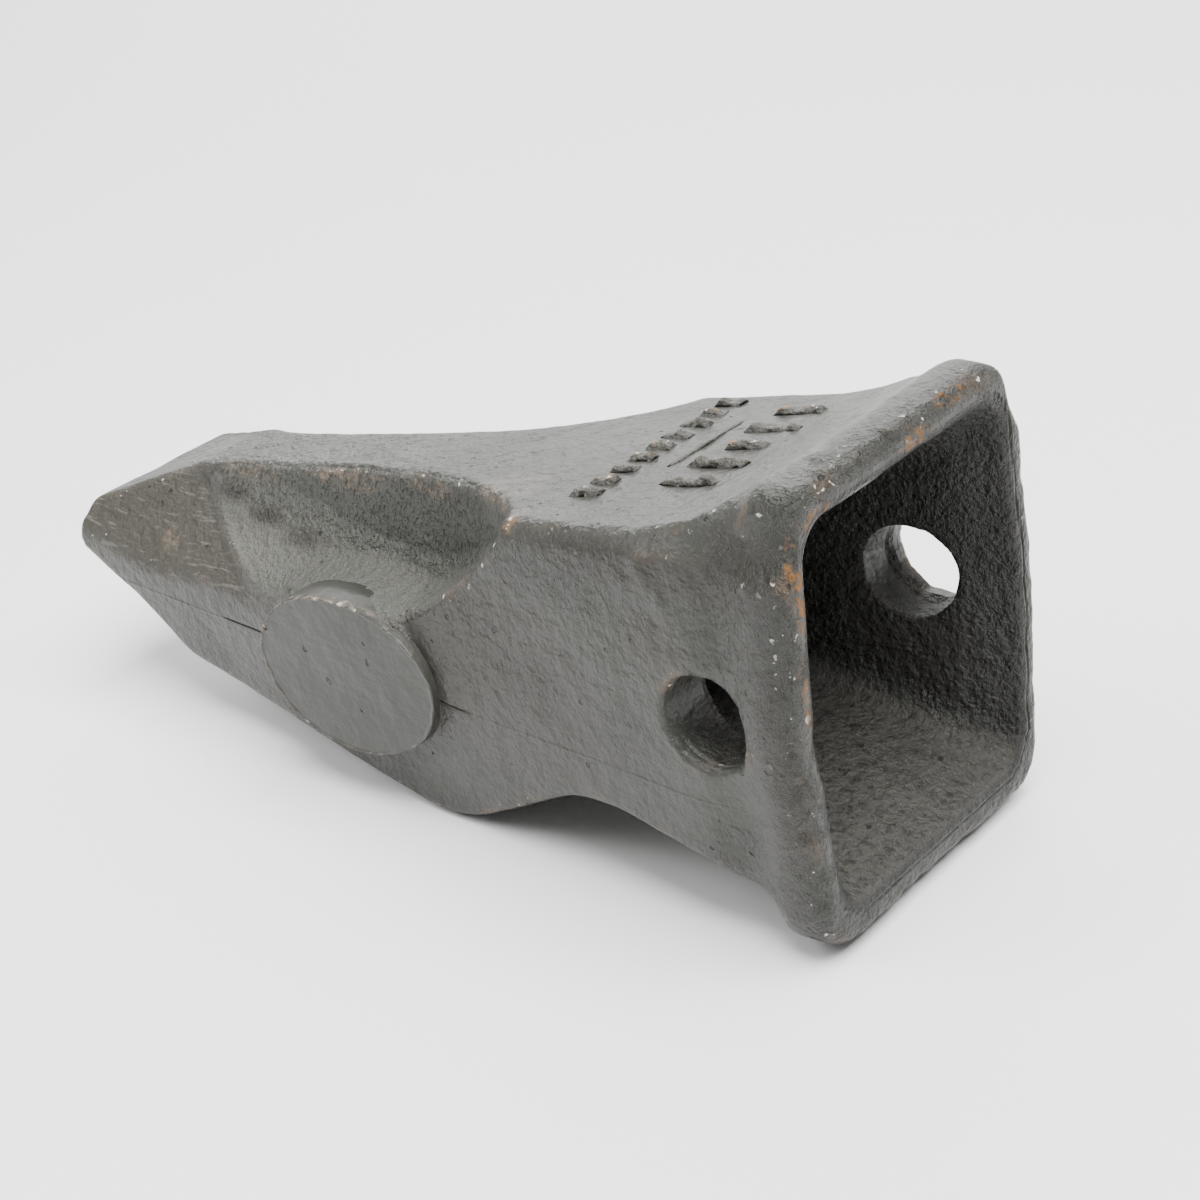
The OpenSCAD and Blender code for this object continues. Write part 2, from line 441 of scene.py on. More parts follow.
def mesh_object(name, points, quads, material, attributes=None):
    """A smooth mesh object from points in millimetres, with point attributes."""
    if not len(quads):
        raise RuntimeError(f"{name} has no faces")
    mesh = bpy.data.meshes.new(name)
    mesh.vertices.add(len(points))
    mesh.vertices.foreach_set("co", (points * MM).ravel())
    mesh.loops.add(quads.size)
    mesh.loops.foreach_set("vertex_index", quads.ravel())
    mesh.polygons.add(len(quads))
    mesh.polygons.foreach_set("loop_start", np.arange(len(quads)) * quads.shape[1])
    mesh.update(calc_edges=True)
    mesh.validate()
    mesh.shade_smooth()
    for key, values in (attributes or {}).items():
        mesh.attributes.new(key, "FLOAT", "POINT").data.foreach_set("value", values.astype(np.float32))
    mesh.materials.append(material)
    piece = bpy.data.objects.new(name, mesh)
    bpy.context.scene.collection.objects.link(piece)
    return piece


def hand_over(piece, node):
    """Lets a piece stand for a CAD node: hangs it under the root and hides the node."""
    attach(piece, "root")
    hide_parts(node)


# ---------------------------------------------------------------- materials

# The kinds of node that are used often
MATH = "ShaderNodeMath"
VECTOR = "ShaderNodeVectorMath"
RANGE = "ShaderNodeMapRange"
MIX = "ShaderNodeMix"
NOISE = "ShaderNodeTexNoise"
ATTRIBUTE = "ShaderNodeAttribute"

SEAM_DROP = 0.0212              # the parting line's depth below the pin, in metres
SEAM_HALF = 0.0008              # half the width of its welt
PAINT_SPECULAR = 0.27           # a dusty paint film shines less than clean plastic


def linear(code):
    """An sRGB hex colour as linear RGBA."""
    parts = [int(code[i:i + 2], 16) / 255 for i in (1, 3, 5)]
    return tuple(c / 12.92 if c < 0.04045 else ((c + 0.055) / 1.055) ** 2.4 for c in parts) + (1,)


def add_node(tree, kind, inputs=(), **settings):
    """Adds a node with its settings and returns its outputs. Its inputs are
    given in order or by name or number, as values or as other outputs."""
    node = tree.nodes.new(kind)
    for key, value in settings.items():
        setattr(node, key, value)
    slots = inputs.items() if isinstance(inputs, dict) else enumerate(inputs)
    for slot, value in slots:
        if isinstance(value, bpy.types.NodeSocket):
            tree.links.new(value, node.inputs[slot])
        else:
            node.inputs[slot].default_value = value
    return node.outputs


def per_metre(size_mm, stretch=(1, 1, 1)):
    """The scale that makes a pattern size_mm across, stretched along the axes."""
    return tuple(1000 / size_mm / s for s in stretch)


def coat(tree, base, weight, strength, code):
    """Lays a hex colour over a base, as thick as a weight times a strength."""
    weight = add_node(tree, MATH, (weight, strength), operation="MULTIPLY")[0]
    return add_node(tree, MIX, {0: weight, 6: base, 7: linear(code)}, data_type="RGBA")[2]


def new_material(name):
    """A material with its tree, its shader and the object's own coordinates."""
    material = bpy.data.materials.new(name)
    material.use_nodes = True
    tree = material.node_tree
    shader = tree.nodes["Principled BSDF"]
    shader.inputs["Specular IOR Level"].default_value = PAINT_SPECULAR
    place = add_node(tree, "ShaderNodeTexCoord")["Object"]
    return material, tree, shader, place


def spot(tree, place, centre, reach, soft=0.5):
    """A soft ball of weight at a place; centre and reach in millimetres."""
    away = add_node(tree, VECTOR, (place, tuple(c * MM for c in centre)), operation="SUBTRACT")[0]
    away = add_node(tree, VECTOR, (away, tuple(c * MM for c in reach)), operation="DIVIDE")[0]
    length = add_node(tree, VECTOR, (away,), operation="LENGTH")["Value"]
    left = add_node(tree, MATH, (1.0, length), operation="SUBTRACT")[0]
    return add_node(tree, RANGE, (left, 0.0, soft), interpolation_type="SMOOTHSTEP")[0]


# Rust bleeding through: a place, its reach along X, Y and Z, and its strength
RUST_SPOTS = (
    ((25, -41, 36), (2.4, 2.4, 16), 1.0),
    ((25, -42.5, 12), (2, 2, 13), 0.6),
    ((26, -33, 49), (2.5, 8, 2.5), 0.6),
    ((25, 4, 51), (2.5, 9, 2.5), 0.7),
    ((24, 20, 54), (2.5, 8, 2.5), 0.7),
    ((-58, -37, 31), (5, 4, 4), 0.4),
)

# Worn patches where the primer shows: a place, its reach and its strength
BARE_SPOTS = (
    ((-182, -13, 13), (16, 3, 4), 0.5),
    ((-146, -14, 19), (24, 3, 5), 0.9),
    ((-112, -18, 24), (18, 4, 4), 0.8),
    ((-88, -25, 28), (9, 5, 4), 0.7),
    ((-204, -26, -8), (7, 5, 7), 0.8),
    ((-60, -36, 32), (7, 6, 5), 0.6),
    ((-74, -20, 31), (16, 10, 5), 0.5),
)

# Darker brown patches, a few of them stains and most of them painted shade: a painted dark reflection below
# the near side's top edge, painted shadow along the rib's foot and beside the stub, and painted shade over
# the middle of the side. Each: a place, its reach along X, Y and Z, and its strength
SHADE_AND_STAIN_SPOTS = (
    ((-22, -44, 33), (42, 8, 7), 0.8),
    ((12, -46, 40), (14, 10, 16), 0.7),
    ((-14, -47, 18), (14, 6, 12), 0.5),
    ((-188, -16, 7), (10, 5, 4), 0.75),
    ((-172, -18, 3.5), (11, 5, 4), 0.8),
    ((-155, -21, 1.5), (13, 6, 4), 0.7),
    ((20, -47, -10), (6, 8, 46), 0.5),
    ((-72, -44, -8), (52, 9, 40), 0.75),
    ((-96, -42, -12), (9, 6, 12), 0.6),
)


def cast_paint(finish):
    """Thin semi-gloss grey paint over a sand-cast skin: the sand's grain shows through it, edges have worn
    to rust and the paint is darker in hollows. Its pits, the socket's walls and some patches carry painted
    shade, and the pocket's floor and the socket's floor carry painted light."""
    material, tree, shader, place = new_material("painted_cast_steel")
    # each noise: its size in millimetres, detail, roughness and stretch
    grain, peel, cloud, speck, streak, net, rugged, dash, patch = (
        add_node(tree, NOISE, {
            "Vector": add_node(tree, VECTOR, (place, per_metre(size, stretch)), operation="MULTIPLY")[0],
            "Scale": 1.0, "Detail": detail, "Roughness": rough})["Fac"]
        for size, detail, rough, stretch in (
            (1.5, 3, 0.6, (1, 1, 1)), (4.2, 2, 0.5, (1, 1, 1)), (38, 3, 0.55, (1, 1, 1)),
            (2.6, 2, 0.6, (1, 1, 1)), (1.9, 3, 0.6, (1, 1, 4)), (0.9, 2, 0.6, (11, 1, 4)),
            (2.6, 4, 0.65, (1, 1, 1)), (0.8, 1, 0.5, (1, 1, 2.6)), (11, 3, 0.65, (1, 1, 1))))
    dash = add_node(tree, RANGE, (dash, 0.56, 0.68), interpolation_type="SMOOTHSTEP")[0]
    flank, wall, rim, inside, ridge, pocket, worn, hollow = (
        add_node(tree, ATTRIBUTE, attribute_name=name)["Fac"]
        for name in ("flank", "wall", "rim", "inside", "ridge", "pocket", "worn", "hollow"))

    # colour: paint, then dust, rust and chips
    shade = add_node(tree, RANGE, (cloud, 0.35, 0.68), interpolation_type="SMOOTHSTEP")[0]
    colour = add_node(tree, MIX, {0: shade, 6: (*finish.paint, 1), 7: (*finish.paint_shade, 1)},
                      data_type="RGBA")[2]
    # the paint is darker in the casting's hollows
    darkening = add_node(tree, RANGE, (hollow, 0.1, 0.9), interpolation_type="SMOOTHSTEP")[0]
    colour = coat(tree, colour, darkening, 0.24, "#25221d")
    # painted shade: the low pits of the rim's rough relief are painted dark
    rim_pit_shade = add_node(tree, MATH, (1.0, rugged), operation="SUBTRACT")[0]
    rim_pit_shade = add_node(tree, RANGE, (rim_pit_shade, 0.56, 0.66), interpolation_type="SMOOTHSTEP")[0]
    rim_pit_shade = add_node(tree, MATH, (rim_pit_shade, rim), operation="MULTIPLY")[0]
    colour = coat(tree, colour, rim_pit_shade, 0.6, "#1f1d19")
    dusty = add_node(tree, MATH, (peel, 0.5), operation="MULTIPLY")[0]
    dusty = add_node(tree, MATH, (0.45, dusty), operation="ADD")[0]
    dusty = add_node(tree, MATH, (flank, dusty), operation="MULTIPLY")[0]
    colour = coat(tree, colour, dusty, 1.0, "#423f38")
    # fine pale scratches along the flank
    lines = add_node(tree, RANGE, (net, 0.56, 0.66), interpolation_type="SMOOTHSTEP")[0]
    lines = add_node(tree, MATH, (lines, flank), operation="MULTIPLY")[0]
    colour = coat(tree, colour, lines, 0.4, "#77746b")
    mottle = add_node(tree, RANGE, (speck, 0.5, 0.66), interpolation_type="SMOOTHSTEP")[0]
    mottle = add_node(tree, MATH, (mottle, flank), operation="MULTIPLY")[0]
    colour = coat(tree, colour, mottle, 0.3, "#2a271f")
    # painted light: the pocket's floor, where it faces up, is painted lighter
    colour = coat(tree, colour, pocket, 0.75, "#555550")
    colour = coat(tree, colour, wall, 0.4, "#484843")
    # painted light: the pocket's front slope is painted lighter, where the light falls on it
    front_slope_light = spot(tree, place, (-178, -27, -4), (38, 15, 17), 1.0)
    front_slope_light = add_node(tree, MATH, (front_slope_light, pocket), operation="MULTIPLY")[0]
    colour = coat(tree, colour, front_slope_light, 0.6, "#65655e")
    # brown bloom in patches along worn edges
    patch = add_node(tree, RANGE, (patch, 0.5, 0.62), interpolation_type="SMOOTHSTEP")[0]
    bloom = add_node(tree, MATH, (worn, patch), operation="MULTIPLY")[0]
    bloom = add_node(tree, MATH, (bloom, 0.6), operation="MULTIPLY")[0]
    colour = coat(tree, colour, bloom, 1.0, "#5b4e41")
    # painted shade and light: the socket's walls are painted dark as shade, and its upward-facing floor is
    # painted lighter as light, with dark flecks
    facing = add_node(tree, "ShaderNodeNewGeometry")["Normal"]
    normal = add_node(tree, "ShaderNodeSeparateXYZ", (facing,))
    below = add_node(tree, RANGE, (normal["Z"], 0.4, 0.8), interpolation_type="SMOOTHSTEP")[0]
    below = add_node(tree, MATH, (inside, below), operation="MULTIPLY")[0]
    darkening = add_node(tree, MATH, (inside, below), operation="SUBTRACT")[0]
    # painted shade on the socket's walls
    colour = coat(tree, colour, darkening, 0.7, "#1a1917")
    # painted light on the socket's upward-facing floor
    colour = coat(tree, colour, below, 0.4, "#4b4a45")
    flecks = add_node(tree, RANGE, (rugged, 0.5, 0.62), interpolation_type="SMOOTHSTEP")[0]
    flecks = add_node(tree, MATH, (below, flecks), operation="MULTIPLY")[0]
    colour = coat(tree, colour, flecks, 0.55, "#1f1e1b")
    # bare patches along the rib's near edge
    for centre, reach, strength in BARE_SPOTS:
        bare = spot(tree, place, centre, reach)
        bare = add_node(tree, MATH, (bare, strength), operation="MULTIPLY")[0]
        more = add_node(tree, RANGE, (rugged, 0.44, 0.6), interpolation_type="SMOOTHSTEP")[0]
        bare = add_node(tree, MATH, (bare, more), operation="MULTIPLY")[0]
        colour = coat(tree, colour, bare, 1.0, "#66594b")
    # painted shade and stains: darker patches from the table above
    for centre, reach, strength in SHADE_AND_STAIN_SPOTS:
        dull = spot(tree, place, centre, reach, 1.0)
        dull = add_node(tree, MATH, (dull, strength), operation="MULTIPLY")[0]
        colour = coat(tree, colour, dull, 1.0, "#28241e")
    rust = None
    for centre, reach, strength in RUST_SPOTS:
        one = spot(tree, place, centre, reach)
        one = add_node(tree, MATH, (one, strength), operation="MULTIPLY")[0]
        rust = one if rust is None else add_node(tree, MATH, (rust, one), operation="MAXIMUM")[0]
    more = add_node(tree, RANGE, (speck, 0.42, 0.58), interpolation_type="SMOOTHSTEP")[0]
    rust = add_node(tree, MATH, (rust, more), operation="MULTIPLY")[0]
    colour = coat(tree, colour, rust, 1.0, "#7b5427")
    chips = add_node(tree, RANGE, (speck, 0.67, 0.72), interpolation_type="SMOOTHSTEP")[0]
    more = add_node(tree, MATH, (worn, ridge), operation="MAXIMUM")[0]
    chips = add_node(tree, MATH, (chips, more), operation="MULTIPLY")[0]
    colour = coat(tree, colour, chips, 1.0, "#c9c5bc")
    # small casting pits, about 5 mm apart, painted dark as painted shade inside them
    spread = add_node(tree, VECTOR, (place, per_metre(5.263)), operation="MULTIPLY")[0]
    pits = add_node(tree, "ShaderNodeTexVoronoi", {"Vector": spread, "Scale": 1.0})
    pit = add_node(tree, MATH, (grain, 0.3), operation="MULTIPLY")[0]
    pit = add_node(tree, MATH, (pit, pits["Distance"]), operation="SUBTRACT")[0]
    pit = add_node(tree, RANGE, (pit, 0.0, 0.06), interpolation_type="SMOOTHSTEP")[0]
    more = add_node(tree, RANGE, (peel, 0.52, 0.58), interpolation_type="SMOOTHSTEP")[0]
    pit = add_node(tree, MATH, (pit, more), operation="MULTIPLY")[0]
    colour = coat(tree, colour, pit, 0.7, "#2b2a27")
    # painted shade: the dark dashes stand for shadowed pits, painted on faces that face sideways and on the
    # rib's walls
    side_face = add_node(tree, MATH, (normal["Y"],), operation="ABSOLUTE")[0]
    upright = add_node(tree, RANGE, (side_face, 0.5, 0.9), interpolation_type="SMOOTHSTEP")[0]
    drift = add_node(tree, RANGE, (cloud, 0.42, 0.6), interpolation_type="SMOOTHSTEP")[0]
    drift = add_node(tree, MATH, (drift, 0.35), operation="MULTIPLY")[0]
    upright = add_node(tree, MATH, (upright, drift), operation="MULTIPLY")[0]
    more = add_node(tree, MATH, (wall, 0.9), operation="MULTIPLY")[0]
    upright = add_node(tree, MATH, (more, upright), operation="ADD")[0]
    dash = add_node(tree, MATH, (dash, upright), operation="MULTIPLY")[0]
    colour = coat(tree, colour, dash, 0.32, "#23221f")
    tree.links.new(colour, shader.inputs["Base Color"])

    # the parting line of the mould shows as a low welt on the nose
    axes = add_node(tree, "ShaderNodeSeparateXYZ", (place,))
    seam = add_node(tree, MATH, (axes["Z"], SEAM_DROP), operation="ADD")[0]
    seam = add_node(tree, MATH, (seam,), operation="ABSOLUTE")[0]
    seam = add_node(tree, MATH, (SEAM_HALF, seam), operation="SUBTRACT")[0]
    seam = add_node(tree, RANGE, (seam, 0.0, SEAM_HALF), interpolation_type="SMOOTHSTEP")[0]
    front_run = spot(tree, place, (-168, -36, -21), (13, 8, 8))
    rear_run = spot(tree, place, (-88, -42, -21), (9, 8, 8))
    near = add_node(tree, MATH, (front_run, rear_run), operation="MAXIMUM")[0]
    near = add_node(tree, MATH, (near, 0.12), operation="ADD")[0]
    seam = add_node(tree, MATH, (seam, near), operation="MULTIPLY")[0]

    # relief, as heights of the grain under the paint
    rough_zone = wall
    for zone in (rim, flank, pocket, inside):
        rough_zone = add_node(tree, MATH, (rough_zone, zone), operation="MAXIMUM")[0]
    more = add_node(tree, MATH, (rough_zone, 0.5), operation="MULTIPLY")[0]
    rough_zone = add_node(tree, MATH, (0.3, more), operation="ADD")[0]
    fine = add_node(tree, MATH, (grain, rough_zone), operation="MULTIPLY")[0]
    ripple = add_node(tree, MATH, (wall, 0.8), operation="MULTIPLY")[0]
    more = add_node(tree, MATH, (rim, 0.5), operation="MULTIPLY")[0]
    ripple = add_node(tree, MATH, (ripple, more), operation="ADD")[0]
    height = add_node(tree, MATH, (streak, ripple), operation="MULTIPLY")[0]
    height = add_node(tree, MATH, (fine, height), operation="ADD")[0]
    broken = add_node(tree, MATH, (inside, pocket), operation="MAXIMUM")[0]
    broken = add_node(tree, MATH, (broken, 0.45), operation="MULTIPLY")[0]
    broken = add_node(tree, MATH, (rim, broken), operation="MAXIMUM")[0]
    broken = add_node(tree, MATH, (rugged, broken), operation="MULTIPLY")[0]
    for part, share in ((peel, 0.6), (broken, 2.6), (pit, -0.8), (chips, -0.2), (dash, -0.35), (seam, 0.9)):
        more = add_node(tree, MATH, (part, share), operation="MULTIPLY")[0]
        height = add_node(tree, MATH, (height, more), operation="ADD")[0]
    relief = add_node(tree, "ShaderNodeBump", {"Height": height, "Strength": 1.0, "Distance": 0.0016})
    tree.links.new(relief["Normal"], shader.inputs["Normal"])

    gloss = add_node(tree, MATH, (cloud, 0.12), operation="MULTIPLY")[0]
    gloss = add_node(tree, MATH, (finish.roughness, gloss), operation="ADD")[0]
    matt = add_node(tree, MATH, (rust, dusty), operation="MAXIMUM")[0]
    more = add_node(tree, MATH, (matt, 0.25), operation="MULTIPLY")[0]
    gloss = add_node(tree, MATH, (gloss, more), operation="ADD")[0]
    rubbed = add_node(tree, MATH, (inside, rim), operation="MAXIMUM")[0]
    more = add_node(tree, MATH, (rubbed, 0.1), operation="MULTIPLY")[0]
    gloss = add_node(tree, MATH, (gloss, more), operation="SUBTRACT")[0]
    tree.links.new(gloss, shader.inputs["Roughness"])
    return material


def ground_paint(finish):
    """The same paint over a face that was sawn and ground flat: smoother, with
    a few pits and shallow grinding scratches."""
    material, tree, shader, place = new_material("painted_ground_steel")
    # each noise: its size in millimetres, detail, roughness and stretch
    cloud, peel, scratch, speck = (
        add_node(tree, NOISE, {
            "Vector": add_node(tree, VECTOR, (place, per_metre(size, stretch)), operation="MULTIPLY")[0],
            "Scale": 1.0, "Detail": detail, "Roughness": rough})["Fac"]
        for size, detail, rough, stretch in (
            (24, 3, 0.5, (1, 1, 1)), (4.5, 2, 0.5, (1, 1, 1)),
            (1.3, 2, 0.6, (12, 1, 1)), (2.6, 2, 0.6, (1, 1, 1))))
    lip = add_node(tree, ATTRIBUTE, attribute_name="lip")["Fac"]
    shade = add_node(tree, RANGE, (cloud, 0.35, 0.65), interpolation_type="SMOOTHSTEP")[0]
    colour = add_node(tree, MIX, {0: shade, 6: (*finish.paint, 1), 7: (*finish.paint_shade, 1)},
                      data_type="RGBA")[2]
    # a few pits opened by the grinding, about 9 mm apart, painted dark as painted shade inside them
    spread = add_node(tree, VECTOR, (place, per_metre(9.091)), operation="MULTIPLY")[0]
    pits = add_node(tree, "ShaderNodeTexVoronoi", {"Vector": spread, "Scale": 1.0})
    pit = add_node(tree, MATH, (0.13, pits["Distance"]), operation="SUBTRACT")[0]
    pit = add_node(tree, RANGE, (pit, 0.0, 0.06), interpolation_type="SMOOTHSTEP")[0]
    more = add_node(tree, RANGE, (speck, 0.45, 0.52), interpolation_type="SMOOTHSTEP")[0]
    pit = add_node(tree, MATH, (pit, more), operation="MULTIPLY")[0]
    colour = coat(tree, colour, pit, 0.85, "#262521")
    burr = add_node(tree, RANGE, (speck, 0.4, 0.6), interpolation_type="SMOOTHSTEP")[0]
    burr = add_node(tree, MATH, (lip, burr), operation="MULTIPLY")[0]
    colour = coat(tree, colour, burr, 0.6, "#8f8370")
    chips = add_node(tree, RANGE, (speck, 0.62, 0.68), interpolation_type="SMOOTHSTEP")[0]
    chips = add_node(tree, MATH, (lip, chips), operation="MULTIPLY")[0]
    colour = coat(tree, colour, chips, 0.8, "#b9b4a9")
    tree.links.new(colour, shader.inputs["Base Color"])
    height = add_node(tree, MATH, (peel, 0.6), operation="MULTIPLY")[0]
    for part, share in ((scratch, 0.12), (pit, -1.0), (burr, 0.6)):
        more = add_node(tree, MATH, (part, share), operation="MULTIPLY")[0]
        height = add_node(tree, MATH, (height, more), operation="ADD")[0]
    relief = add_node(tree, "ShaderNodeBump", {"Height": height, "Strength": 1.0, "Distance": 0.0007})
    tree.links.new(relief["Normal"], shader.inputs["Normal"])
    shader.inputs["Roughness"].default_value = finish.roughness + 0.06
    return material


def mark_paint(finish):
    """Paint over raised cast marks: rubbed thin on top, where rust comes through, and painted darker round
    their feet as painted shade."""
    material, tree, shader, place = new_material("painted_cast_steel_marks")
    height_on = add_node(tree, ATTRIBUTE, attribute_name="crest")["Fac"]
    # each noise: its size in millimetres and its detail
    speck, grain, patch = (
        add_node(tree, NOISE, {
            "Vector": add_node(tree, VECTOR, (place, per_metre(size)), operation="MULTIPLY")[0],
            "Scale": 1.0, "Detail": detail, "Roughness": 0.6})["Fac"]
        for size, detail in ((2.4, 3), (1.2, 3), (7, 2)))
    patch = add_node(tree, RANGE, (patch, 0.5, 0.62), interpolation_type="SMOOTHSTEP")[0]
    # painted shade: the marks are painted darker from their crests down to their feet
    foot = add_node(tree, RANGE, (height_on, 0.0, 0.32), interpolation_type="SMOOTHSTEP")[0]
    colour = add_node(tree, MIX, {0: foot, 6: linear("#32312d"), 7: linear("#484742")}, data_type="RGBA")[2]
    rub = add_node(tree, RANGE, (height_on, 0.7, 1.0), interpolation_type="SMOOTHSTEP")[0]
    rub = add_node(tree, MATH, (rub, patch), operation="MULTIPLY")[0]
    colour = coat(tree, colour, rub, 0.6, "#8f6d45")
    chips = add_node(tree, RANGE, (height_on, 0.75, 1.0), interpolation_type="SMOOTHSTEP")[0]
    more = add_node(tree, RANGE, (speck, 0.6, 0.66), interpolation_type="SMOOTHSTEP")[0]
    chips = add_node(tree, MATH, (chips, more), operation="MULTIPLY")[0]
    colour = coat(tree, colour, chips, 1.0, "#cfc6b6")
    tree.links.new(colour, shader.inputs["Base Color"])
    height = add_node(tree, MATH, (grain, speck), operation="ADD")[0]
    relief = add_node(tree, "ShaderNodeBump", {"Height": height, "Strength": 1.0, "Distance": 0.0010})
    tree.links.new(relief["Normal"], shader.inputs["Normal"])
    shader.inputs["Roughness"].default_value = finish.roughness + 0.12
    return material


def floor_paint():
    """Seamless white studio board, matt."""
    material, tree, shader, place = new_material("white_board")
    broad = add_node(tree, VECTOR, (place, per_metre(400)), operation="MULTIPLY")[0]
    tone = add_node(tree, NOISE, {"Vector": broad, "Scale": 1.0, "Detail": 2, "Roughness": 0.5})["Fac"]
    colour = add_node(tree, MIX, {0: tone, 6: linear("#f4f4f4"), 7: linear("#f7f7f7")}, data_type="RGBA")[2]
    tree.links.new(colour, shader.inputs["Base Color"])
    shader.inputs["Roughness"].default_value = 0.9
    return material


# ----------------------------------------------------------------- settings

class ToothFinish(PropertyGroup):
    """Colours and gloss of the painted casting."""
    paint: FloatVectorProperty(
        name="Paint", description="Colour of the grey paint", subtype="COLOR",
        default=linear("#3b3b37")[:3], min=0, max=1)
    paint_shade: FloatVectorProperty(
        name="Paint, dull patches", description="Colour of the paint where it is dull", subtype="COLOR",
        default=linear("#33332f")[:3], min=0, max=1)
    roughness: FloatProperty(
        name="Roughness", description="Roughness of the paint where it is clean", subtype="FACTOR",
        default=0.32, min=0, max=1)


class ToothSizes(PropertyGroup):
    """Sizes of the pieces that sit on the casting, and of its mesh."""
    mesh_step: FloatProperty(
        name="Mesh step", description="Spacing of the casting's mesh", unit="LENGTH",
        default=0.0013, min=0.001, max=0.004)
    relief: FloatProperty(
        name="Relief", description="Strength of the sand's marks on the cast skin", subtype="FACTOR",
        default=1.0, min=0, max=2)
    stub_length: FloatProperty(
        name="Stub length", description="Length of the feeder stub along the tooth", unit="LENGTH",
        default=0.064, min=0.04, max=0.08)
    stub_height: FloatProperty(
        name="Stub height", description="Height of the feeder stub", unit="LENGTH",
        default=0.044, min=0.03, max=0.05)
    stub_face: FloatProperty(
        name="Stub face", description="Distance of the stub's ground face from the middle plane",
        unit="LENGTH", default=0.043, min=0.04, max=0.046)
    small_marks: IntProperty(
        name="Small marks", description="Number of marks in the row of small ones", default=9, min=3, max=12)
    large_marks: IntProperty(
        name="Large marks", description="Number of marks in the row of large ones", default=5, min=2, max=7)
    mark_rise: FloatProperty(
        name="Mark rise", description="Height of the marks above the tooth's back", unit="LENGTH",
        default=0.0013, min=0.0005, max=0.003)


class StageSettings(PropertyGroup):
    """The studio: brightness of its lights and the camera's lens."""
    overhead: FloatProperty(
        name="Overhead light", description="Power of the large light above the tooth", unit="POWER",
        default=80.0, min=0, max=400)
    fill: FloatProperty(
        name="Fill", description="Brightness of the studio around the tooth", default=0.31, min=0, max=5)
    lens: FloatProperty(
        name="Lens", description="Focal length of the camera", subtype="DISTANCE_CAMERA",
        default=70.5, min=20, max=200)


# ---------------------------------------------------------------- operators

class TOOTH_OT_casting(Operator):
    """Build the steel casting with its socket, pin hole, rib and point"""
    bl_idname = "tooth.casting"
    bl_label = "Build casting"

    def execute(self, context):
        sizes = context.scene.tooth_sizes
        step = sizes.mesh_step / MM
        low, high = (TIP_X - 4, -51.4, -61.0), (MOUTH_X + 4, 51.0, 60.0)
        points, quads = surface_mesh(casting_field, low, high, step)
        points = settle(points, quads, casting_field)
        normal = gradient(casting_field, points)
        normal /= np.maximum(np.linalg.norm(normal, axis=1, keepdims=True), 1e-6)
        # curvature, from how the field bends a few millimetres out and in
        reach = 2.5
        ring = sum(casting_field(*(points + reach * np.array(d)).T) for d in
                   ((1, 0, 0), (-1, 0, 0), (0, 1, 0), (0, -1, 0), (0, 0, 1), (0, 0, -1))) / (6 * reach)
        zone = zones(points, normal)
        height = cast_relief(points, zone) * sizes.relief
        attributes = dict(zone, worn=smooth_step(ring, 0.03, 0.16) * (1 - zone["inside"]),
                          hollow=smooth_step(-ring, 0.02, 0.15) * (1 - 0.6 * zone["inside"]))
        points = points + normal * height[:, None]
        tooth = mesh_object("tooth_body", points, quads, cast_paint(context.scene.tooth_finish), attributes)
        hand_over(tooth, "tooth_casting")
        return {"FINISHED"}


